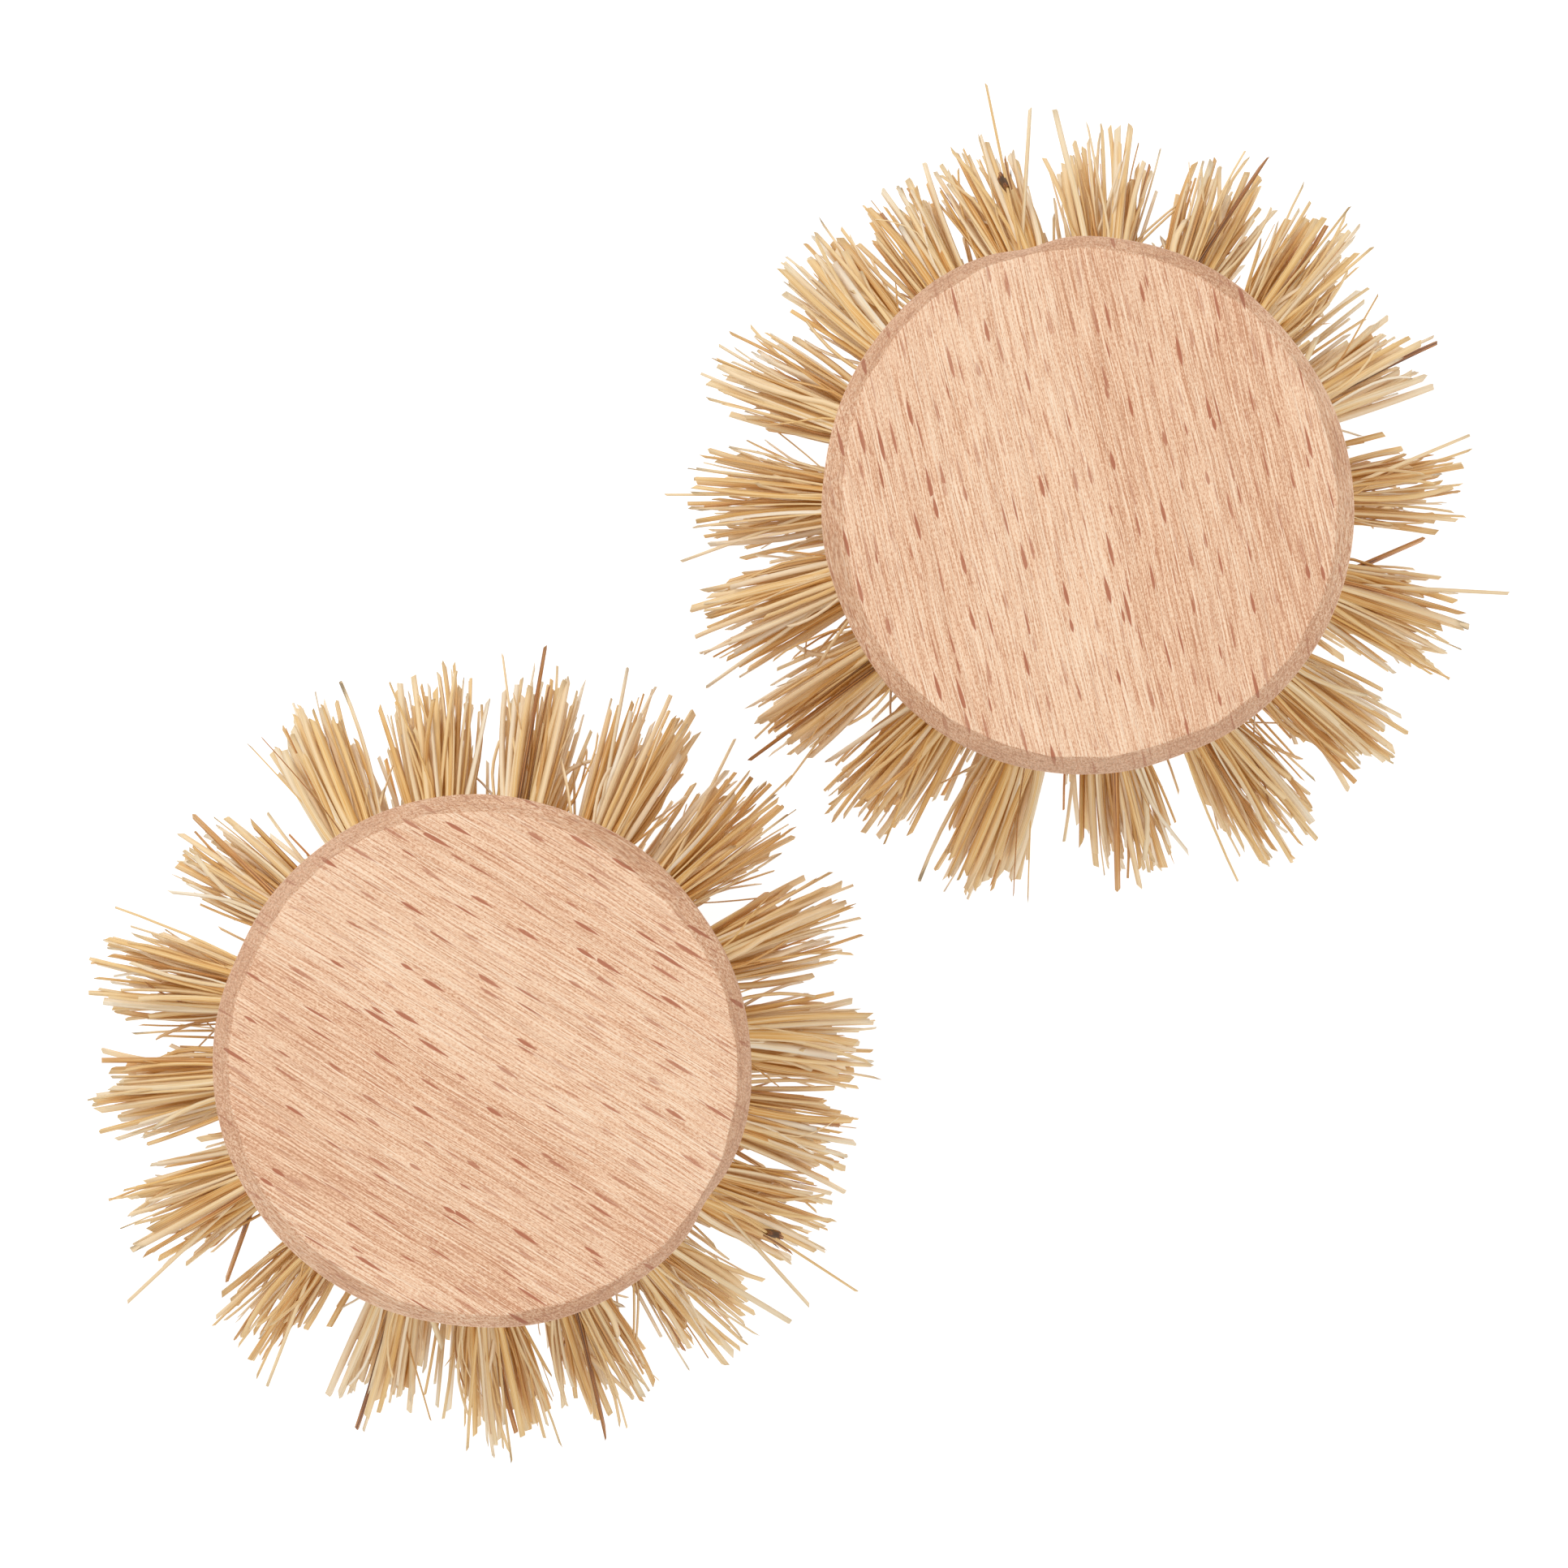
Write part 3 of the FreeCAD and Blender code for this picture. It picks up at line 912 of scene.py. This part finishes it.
# %% Section of a fibre
SECTION = ((-1, -1), (1, -1), (1, 1), (-1, 1))       # corners, across the width and the thickness
WHOLE_TWIST, ALONG_TWIST = 0.5, 0.35     # radians
LOPSIDED = 0.25              # how uneven the four corners are
WIDE_LOPSIDED = 0.3          # how much of that goes across the width
TAPER = 0.18                 # how much thinner a strip's ends are
SLANT = 0.22 * MM            # of the cut at each end, across the width
FLAT_SLANT = 0.4             # how much of that goes across the thickness


def fibre_strip(rng, path, width, thick):
    """Vertices of a strip along a path: four for each of its points."""
    p = np.array(path)
    heading = np.gradient(p, axis=0)
    heading /= np.linalg.norm(heading, axis=1, keepdims=True)
    side = np.array([0.0, 1.0, 0.0]) - heading * heading[:, 1:2]
    side /= np.linalg.norm(side, axis=1, keepdims=True)
    face = np.cross(heading, side)
    rows = len(p)
    turn = rng.normal(0, WHOLE_TWIST) + rng.normal(0, ALONG_TWIST) * np.linspace(-1, 1, rows)
    c, s = np.cos(turn)[:, None], np.sin(turn)[:, None]
    wide, flat = side * c + face * s, face * c - side * s
    uneven = rng.normal(0, LOPSIDED, 4)
    taper = 1 - TAPER * np.abs(np.linspace(-1, 1, rows))[:, None] ** 3
    strip = np.empty((rows, 4, 3))
    for k, (a, b) in enumerate(SECTION):
        across = wide * width / 2 * (a + WIDE_LOPSIDED * uneven[k])
        strip[:, k] = p + taper * (across + flat * thick / 2 * (b + uneven[k]))
    for end in (0, -1):
        slant = rng.normal(0, SLANT, 2)
        for k, (a, b) in enumerate(SECTION):
            strip[end, k] += heading[end] * (a * slant[0] + b * slant[1] * FLAT_SLANT)
    return strip


def strip_faces(rows):
    """Quads of one strip: four sides for each step, and a cap at each end."""
    j = np.arange(rows - 1)[:, None]
    k = np.arange(4)[None, :]
    nxt = (k + 1) % 4
    sides = np.stack([j * 4 + k, j * 4 + nxt, (j + 1) * 4 + nxt, (j + 1) * 4 + k], axis=-1).reshape(-1, 4)
    last = (rows - 1) * 4
    caps = np.array([[3, 2, 1, 0], [last, last + 1, last + 2, last + 3]])
    return np.concatenate([sides, caps])


print("faces of a fibre:", len(strip_faces(2 * (LEG_STEPS + 3) + FOLD_STEPS - 1)))

# %% [markdown]
# ## Width and tone
#
# Most strips are straw-coloured, and a few come from the skin of the stalk: thinner, and
# orange or brown. Tones drawn evenly from dark to pale would look like confetti, so they
# gather round one middle, and each tuft as a whole is a touch paler or browner than the next.

# %% Width and tone of a fibre
WIDTH = 0.35                 # mm, of the middling fibre
WIDTH_SPREAD = 0.40          # of the widths' logarithms
NARROWEST, WIDEST = 0.13, 0.70           # mm
STRAY_THIN = 0.55            # how much thinner a full stray is
THICKNESS = (0.28, 0.65)     # as a share of the width
THICKEST = 0.24 * MM
BROWN_BELOW = 0.30           # tones under this are brown or orange
BROWN_WIDTH = 0.6            # such strips are thinner than the rest
BROWN_TO, ORANGE_TO = 0.016, 0.07        # one in sixty is brown, and one in twenty orange
BROWN_TONES, ORANGE_TONES = (0.02, 0.12), (0.16, BROWN_BELOW)
STRAW, STRAW_SPREAD = 0.60, 0.22         # tone of the rest


def strip_size(rng, stray):
    """Width and thickness: leaf stalks split into flat strips, and the thinnest ones stray."""
    width = np.clip(rng.lognormal(np.log(WIDTH), WIDTH_SPREAD), NARROWEST, WIDEST) * MM
    width /= 1 + STRAY_THIN * stray
    return width, min(width * rng.uniform(*THICKNESS), THICKEST)


def fibre_tone(rng, tuft_tone):
    """Where a strip is between dark brown, 0, and pale cream, 1."""
    chance = rng.random()
    if chance < BROWN_TO:
        return rng.uniform(*BROWN_TONES)
    if chance < ORANGE_TO:
        return rng.uniform(*ORANGE_TONES)
    return float(np.clip(rng.normal(STRAW, STRAW_SPREAD) + tuft_tone, BROWN_BELOW, 1.0))


print("middling fibre:", WIDTH, "mm wide")

# %% Strips of a tuft
REACH = 30.5 * MM            # how far from a head's middle the fibres reach
PAST_REACH = 0.2             # share of a stray's way past that which it keeps
ABOVE_TABLE = 0.02 * MM
AXIS_GAP = 0.001 * MM        # keeps the head's very axis out of the division
WALL = 0.16 * MM             # room between the packed fibres' middles and the hole's wall
TUFT_TONE = 0.05             # how far the tufts' tones differ
TUFT_SPREAD = (0.88, 1.10)   # how wide they open
TUFT_SWAY = 0.7 * MM         # how far they lean aside


def tuft_strips(rng, hole, ring, known=()):
    """All strips of one tuft in the head's space: a list of (vertices, tone)."""
    roots = packed_points(rng, 2 * FOLDED_FIBRES, HOLE_RADIUS - WALL)
    order = np.argsort(roots[:, 0])
    down_roots = roots[order[:FOLDED_FIBRES]]
    up_roots = roots[order[:FOLDED_FIBRES - 1:-1]]
    matrix = np.array(hole)
    tuft_tone = rng.normal(0, TUFT_TONE)
    spread = rng.uniform(*TUFT_SPREAD)
    sway = rng.normal(0, TUFT_SWAY, 2)
    strips = []
    for number in range(FOLDED_FIBRES):
        down, down_stray = loose_leg(rng, down_roots[number], ring, spread, sway)
        up, up_stray = loose_leg(rng, up_roots[number], ring, spread, sway)
        width, thick = strip_size(rng, max(down_stray, up_stray))
        tone = fibre_tone(rng, tuft_tone)
        if tone < BROWN_BELOW:
            width *= BROWN_WIDTH
        if number < len(known):
            tip, width, tone = known_fibre(*known[number])
            thick = width / 2
            down = leg_path(down_roots[number], ring.depth, np.array(hole.inverted() @ tip), np.zeros(2))
        path = down[::-1] + fold_path(down[0], up[0]) + up
        strip = fibre_strip(rng, path, width, thick) @ matrix[:3, :3].T + matrix[:3, 3]
        if number >= len(known):
            strip = bend_back(strip)
        strips.append((lift_off_table(strip), tone))
    return strips


def head_point(angle, radius, height):
    """A point in the head's space from a direction in degrees, and a radius and a height in mm."""
    return Vector((radius * cos(radians(angle)), radius * sin(radians(angle)), height)) * MM


def known_fibre(angle, radius, height, width, tone):
    """Tip, width and tone of a fibre that is given in the list."""
    return head_point(angle, radius, height), width * MM, tone


def bend_back(strip):
    """Strays that would reach past the brush bend back at its edge."""
    reach = np.maximum(np.hypot(strip[..., 0], strip[..., 1]), AXIS_GAP)
    bent = REACH + (reach - REACH) * PAST_REACH
    strip[..., :2] *= (np.minimum(reach, bent) / reach)[..., None]
    return strip


def lift_off_table(strip):
    """Tips that would reach through the table stop on it."""
    strip[..., 2] = np.maximum(strip[..., 2], ABOVE_TABLE)
    return strip


print("fibres reach", REACH / MM, "mm from a head's middle")

# %% [markdown]
# ## From strips to a mesh
#
# Thousands of loose strips would be slow to handle, so the strips of each node are one mesh.
# Its vertices and faces are handed over in one go, which is much faster than one by one.

# %% Tuft mesh
ROW_EDGES = np.array([0.15, 0.85, 0.15, 0.85])       # where a strip's corners are across its row of the map
ROW_START, ROW_LENGTH = 0.01, 0.98                   # and along it


def fibre_rows(count, rows):
    """Places in the UV map: one row for each fibre, from end to end."""
    corner = np.arange(rows * 4)
    along = ROW_START + ROW_LENGTH * (corner // 4) / (rows - 1)
    across = np.repeat(np.arange(count), rows * 4) + np.tile(ROW_EDGES[corner % 4], count)
    return np.stack([np.tile(along, count), across / count], axis=1)


def tuft_mesh(name, strips):
    """One mesh from many strips, with each strip's tone and its own row in the UV map."""
    rows = strips[0][0].shape[0]
    count = len(strips)
    vertices = np.concatenate([strip.reshape(-1, 3) for strip, _ in strips])
    first = np.arange(count) * rows * 4
    faces = (strip_faces(rows)[None] + first[:, None, None]).reshape(-1, 4)
    mesh = bpy.data.meshes.new(name)
    mesh.vertices.add(len(vertices))
    mesh.vertices.foreach_set("co", vertices.ravel())
    mesh.loops.add(faces.size)
    mesh.loops.foreach_set("vertex_index", faces.ravel())
    mesh.polygons.add(len(faces))
    mesh.polygons.foreach_set("loop_start", np.arange(len(faces)) * 4)
    mesh.update(calc_edges=True)
    tones = np.repeat([tone for _, tone in strips], rows * 4)
    mesh.attributes.new("tone", "FLOAT", "POINT").data.foreach_set("value", tones.astype(np.float32))
    places = fibre_rows(count, rows)[faces.ravel()]
    mesh.uv_layers.new(name="OFBake").data.foreach_set("uv", places.astype(np.float32).ravel())
    mesh.validate()
    mesh.materials.append(fibre)
    return mesh


print("rows of the map keep", ROW_EDGES[0], "free at each side")

# %% [markdown]
# ## Fibres to know the brush by
#
# A few fibres are so long or so dark that one would know the brush by them. Left to chance
# they would land anywhere, so they are listed one by one: which tuft they come from, and where
# they end. One tuft also holds a dark bit of husk.

# %% Known fibres
KNOWN_FIBRES = {
    # ring and tuft: (direction of the tip in degrees, its radius and height in mm, width in mm, tone)
    ("outer", 18): [(-10.8, 33.0, 9.0, 0.30, 0.85), (-4.6, 26.0, 8.0, 0.55, 0.18)],
    ("outer", 1): [(11.1, 30.0, 9.0, 0.26, 0.75)],
    ("outer", 4): [(62.3, 29.8, 11.0, 0.42, 0.04)],
    ("outer", 6): [(102.4, 33.1, 9.0, 0.20, 0.42), (97.0, 30.8, 7.0, 0.30, 0.60)],
    ("outer", 10): [(177.6, 31.4, 7.0, 0.20, 0.55), (187.0, 30.4, 6.0, 0.26, 0.70)],
    ("outer", 11): [(205.1, 31.2, 8.0, 0.26, 0.72)],
    ("outer", 12): [(216.9, 31.2, 9.0, 0.30, 0.07), (222.9, 30.4, 6.0, 0.18, 0.66)],
    ("outer", 15): [(-84.3, 28.7, 8.0, 0.50, 0.20)],
}
HUSK_TUFT = 6                # of the outer ring
HUSK_FROM = (103.0, 24.7, 16.4)          # direction in degrees, radius and height in mm
HUSK_TO = (103.8, 25.9, 15.2)
HUSK_WIDTH, HUSK_THICK, HUSK_TONE = 0.6 * MM, 0.35 * MM, 0.0


def husk(rng, rows):
    """A short dark flake that lies on a tuft, with as many rows as a fibre."""
    start, end = (np.array(head_point(*place)) for place in (HUSK_FROM, HUSK_TO))
    path = [start + (end - start) * t for t in np.linspace(0, 1, rows)]
    return fibre_strip(rng, path, HUSK_WIDTH, HUSK_THICK), HUSK_TONE


print("known fibres:", sum(len(fibres) for fibres in KNOWN_FIBRES.values()))

# %% [markdown]
# ## Planting
#
# On a real head each tuft is shot into its hole with its staple. One tuft could be copied to
# all holes, but the eye would find it again. So each bundle is made for its own hole, from a
# fixed seed, and goes in as the node that the CAD model names.

# %% Plant the tufts
FIRST_SEED = 11              # of the outer ring; the next rings count on


def tuft_nodes(name):
    """The tufts of a ring as the CAD model names them: one node each, or one for the whole ring."""
    if name == "outer":
        return [f"outer_tuft_{k:02d}" for k in range(1, RINGS[name].count + 1)]
    if name == "inner":
        return [f"inner_tuft_{k}" for k in range(1, RINGS[name].count + 1)]
    return {"middle": ["middle_tufts"], "centre": ["centre_tuft"]}[name]


def ring_meshes(name, seed):
    """A mesh for each of a ring's nodes."""
    rng = np.random.default_rng(seed)
    bundles = [tuft_strips(rng, hole, RINGS[name], KNOWN_FIBRES.get((name, number), ()))
               for number, hole in enumerate(ring_holes(name), 1)]
    if name == "outer":
        bundles[HUSK_TUFT - 1].append(husk(rng, len(bundles[0][0][0])))
    nodes = tuft_nodes(name)
    if len(nodes) < len(bundles):
        bundles = [[strip for bundle in bundles for strip in bundle]]
    return {node: tuft_mesh(node, strips) for node, strips in zip(nodes, bundles)}


planted = 0
for seed, ring_name in enumerate(RINGS, FIRST_SEED):
    for node, mesh in ring_meshes(ring_name, seed).items():
        for number, head in enumerate(HEAD_TURN, 1):
            data = mesh if number == 1 else mesh.copy()
            tuft = bpy.data.objects.new(f"fibre_{node}_{number}", data)
            bpy.context.scene.collection.objects.link(tuft)
            put_in_place(tuft, head, f"{head}_{node}")
            planted += len(data.polygons)
print("faces of fibre planted:", planted)

# %% [markdown]
# ## Staples
#
# The staples are drawn wire, which shines along fine lines. They are hidden in the wood, but
# the model holds them, so they get their steel. They could be swept again as curves, but
# their CAD shape is already the real one, so it stays and only takes the material.

# %% Staple wire
WIRE_OFTEN = (4000, 4000, 900)           # changes in a metre
WIRE_COLOURS = [(0.3, srgb(150, 150, 148)), (0.7, srgb(196, 196, 192))]


def wire_material():
    r = Recipe("staple_wire")
    drawn = r.noise(r.add("TexCoord", "Object"), WIRE_OFTEN)
    return r.finish(r.ramp(drawn, WIRE_COLOURS), Metallic=1.0, Roughness=0.38)


wire = wire_material()
for head in HEAD_TURN:
    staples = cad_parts[head + "_staples"]
    staples.data.materials.clear()
    staples.data.materials.append(wire)
print("staple nodes:", [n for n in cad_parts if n.endswith("staples")])

# %% [markdown]
# ## Measure
#
# The finished heads should fill the box of the CAD model, but for a few stray fibres, so both
# boxes are measured and printed.

# %% Finish
visual_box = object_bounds()
for low_high, box in (("CAD", cad_box), ("visual", visual_box)):
    print(low_high, "box in mm:", [[round(x / MM, 2) for x in corner] for corner in box])
